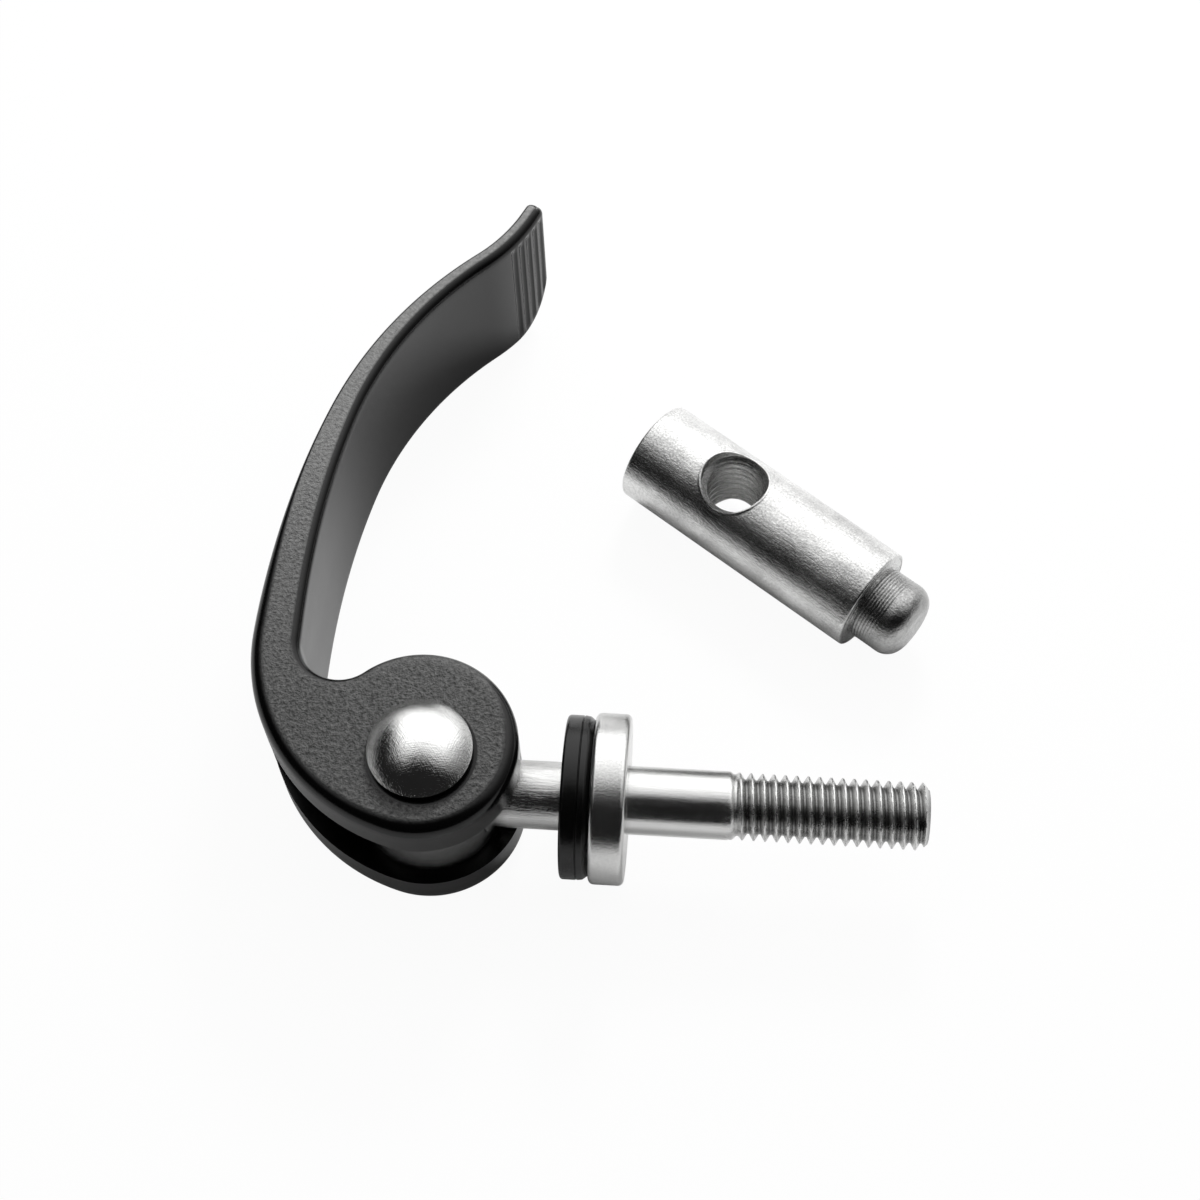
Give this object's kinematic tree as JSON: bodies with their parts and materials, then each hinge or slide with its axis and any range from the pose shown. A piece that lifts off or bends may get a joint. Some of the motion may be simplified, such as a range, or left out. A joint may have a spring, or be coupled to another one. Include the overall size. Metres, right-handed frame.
{
  "type": "quick release cam lever",
  "caption": "Black cam lever with a curved blade, pinned to an eye bolt that carries a plastic and a steel washer, with its barrel nut lying beside it; clamps a folding handlebar.",
  "frame": {"origin": "on the cam pin's axis, at the side of the lever that lies on the table", "axes": "+X along the eye bolt towards its threaded end, +Y towards the tip of the blade, +Z along the cam pin towards its domed head"},
  "size_m": [0.0602, 0.0655, 0.0194],
  "materials": {
    "black_coating": "black powder coat on cast aluminium, fine grain on the side faces, satin on the blade",
    "polished_steel": "polished with fine random scratches",
    "bolt_steel": "bright plated, drawn lengthwise",
    "black_plastic": "satin moulded nylon",
    "plated_steel": "bright plated",
    "turned_steel": "mottled plated, turning marks at the stub"
  },
  "bodies": {
    "lever": {"lever": "black_coating", "pivot_pin": "polished_steel", "barrel_nut": "turned_steel"},
    "bolt": {"eye_bolt": "bolt_steel"},
    "plastic_washer": {"cam_washer": "black_plastic"},
    "metal_washer": {"steel_washer": "plated_steel"}
  },
  "joints": [
    {"name": "lever_swing", "type": "hinge", "parent": "lever", "child": "bolt", "pos_m": [0, 0, 0.0083], "axis": [0, 0, -1], "range_deg": [0, 110]},
    {"name": "plastic_washer_slide", "type": "slide", "parent": "bolt", "child": "plastic_washer", "axis": [1, 0, 0], "range_m": [-0.0034, 0]},
    {"name": "metal_washer_slide", "type": "slide", "parent": "bolt", "child": "metal_washer", "axis": [1, 0, 0], "range_m": [0, 0.024]}
  ]
}
